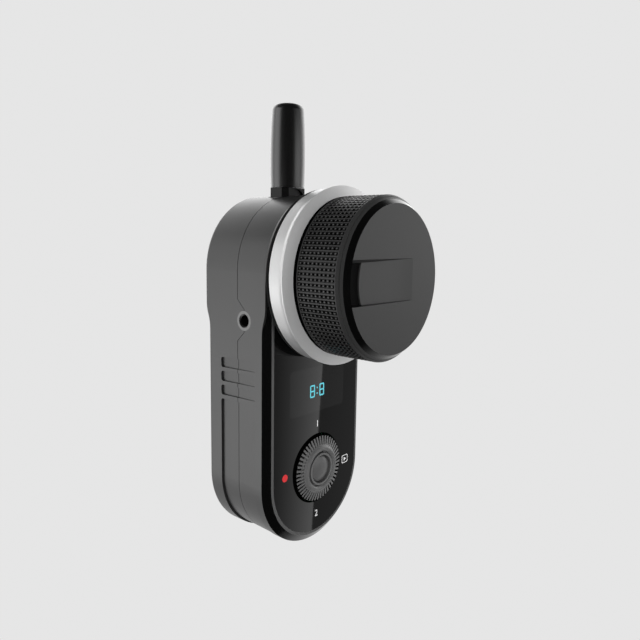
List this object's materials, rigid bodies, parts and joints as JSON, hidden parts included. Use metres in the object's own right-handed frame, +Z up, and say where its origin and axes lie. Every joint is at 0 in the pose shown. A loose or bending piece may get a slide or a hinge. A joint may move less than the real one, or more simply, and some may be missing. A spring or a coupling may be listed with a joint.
{
  "type": "wireless lens focus hand unit",
  "caption": "Hand-held wireless focus control: knurled focus wheel with silver marking ring, dark panel with display and rocking control dial, folding antenna, side camera thread.",
  "frame": {"origin": "on the axis of the side camera thread, where its bore begins just inside the mouth", "axes": "+Z up along the grip towards the antenna, -Y the way the focus wheel faces, -X out of the thread's mouth"},
  "size_m": [0.0818, 0.0851, 0.2128],
  "materials": {
    "casing": "satin anthracite, fine moulded texture",
    "gloss_black": "gloss black",
    "panel_glass": "dark tinted glass",
    "display": "dark display",
    "circuit_board": "green solder mask",
    "battery_wrap": "shrink wrap",
    "steel": "bright steel",
    "magnet": "nickel plated",
    "machined": "machined",
    "damping": "greased felt",
    "wheel_cap": "matte grey",
    "wheel_grip": "knurled",
    "marking": "satin silver",
    "dial": "satin dark grey",
    "dial_sleeve": "black anodised",
    "antenna": "satin black",
    "brass": "plain",
    "lead": "sheath"
  },
  "bodies": {
    "casing": {"front_shell": "casing", "rear_shell": "casing", "collar": "casing", "panel_bezel": "gloss_black", "display_glass": "panel_glass", "display_module": "display", "main_board": "circuit_board", "board_screws": "steel", "battery_pack": "battery_wrap", "casing_screws": "steel", "thread_insert": "steel", "bearing_carrier": "machined", "carrier_screws": "steel", "damping_sleeve": "damping", "front_outer_race": "steel", "rear_outer_race": "steel", "encoder_board": "circuit_board", "encoder_screws": "steel", "dial_base": "circuit_board", "antenna_socket": "antenna", "antenna_lead": "lead", "power_switch": "dial", "charging_port": "steel"},
    "focus_wheel": {"end_cap": "wheel_cap", "end_ring": "gloss_black", "ring_screws": "steel", "grip_sleeve": "wheel_grip", "marking_ring": "marking", "wheel_hub": "machined", "hub_screw": "steel", "wheel_shaft": "steel", "shaft_clip": "steel", "encoder_magnet": "magnet", "front_inner_race": "steel", "rear_inner_race": "steel", "front_balls": "steel", "rear_balls": "steel"},
    "dial_cross": {"gimbal_cross": "steel"},
    "dial_rocker": {"dial_rocker": "dial_sleeve"},
    "dial": {"dial_ring": "dial"},
    "ok_button": {"centre_button": "dial"},
    "antenna_foot": {"antenna_base": "antenna", "antenna_clip": "steel", "antenna_pin": "steel"},
    "antenna": {"antenna_sleeve": "antenna", "antenna_element": "brass"},
    "power": {"power_button": "dial"}
  },
  "joints": [
    {"name": "wheel_turn", "type": "hinge", "parent": "casing", "child": "focus_wheel", "pos_m": [0.0347, -0.0577, 0.0201], "axis": [0, -1, 0], "continuous": true},
    {"name": "dial_rock_vertical", "type": "hinge", "parent": "casing", "child": "dial_cross", "pos_m": [0.0347, -0.0073, -0.0752], "axis": [1, 0, 0], "range_deg": [-2.5, 2.5], "stiffness_Nm_per_rad": 0.6},
    {"name": "dial_rock_sideways", "type": "hinge", "parent": "dial_cross", "child": "dial_rocker", "pos_m": [0.0347, -0.0073, -0.0752], "axis": [0, 0, 1], "range_deg": [-2.5, 2.5], "stiffness_Nm_per_rad": 0.6},
    {"name": "dial_turn", "type": "hinge", "parent": "dial_rocker", "child": "dial", "pos_m": [0.0347, -0.0127, -0.0752], "axis": [0, -1, 0], "continuous": true},
    {"name": "ok_press", "type": "slide", "parent": "dial_rocker", "child": "ok_button", "axis": [0, 1, 0], "range_m": [0, 0.0006], "stiffness_N_per_m": 400},
    {"name": "antenna_swivel", "type": "hinge", "parent": "casing", "child": "antenna_foot", "pos_m": [0.0347, 0.0071, 0.0601], "axis": [0, 0, 1], "range_deg": [-45, 135]},
    {"name": "antenna_fold", "type": "hinge", "parent": "antenna_foot", "child": "antenna", "pos_m": [0.0347, 0.0071, 0.067], "axis": [-0.7071, 0.7071, 0], "range_deg": [0, 90]},
    {"name": "power_press", "type": "slide", "parent": "casing", "child": "power", "axis": [-1, 0, 0], "range_m": [0, 0.0005], "stiffness_N_per_m": 400}
  ]
}
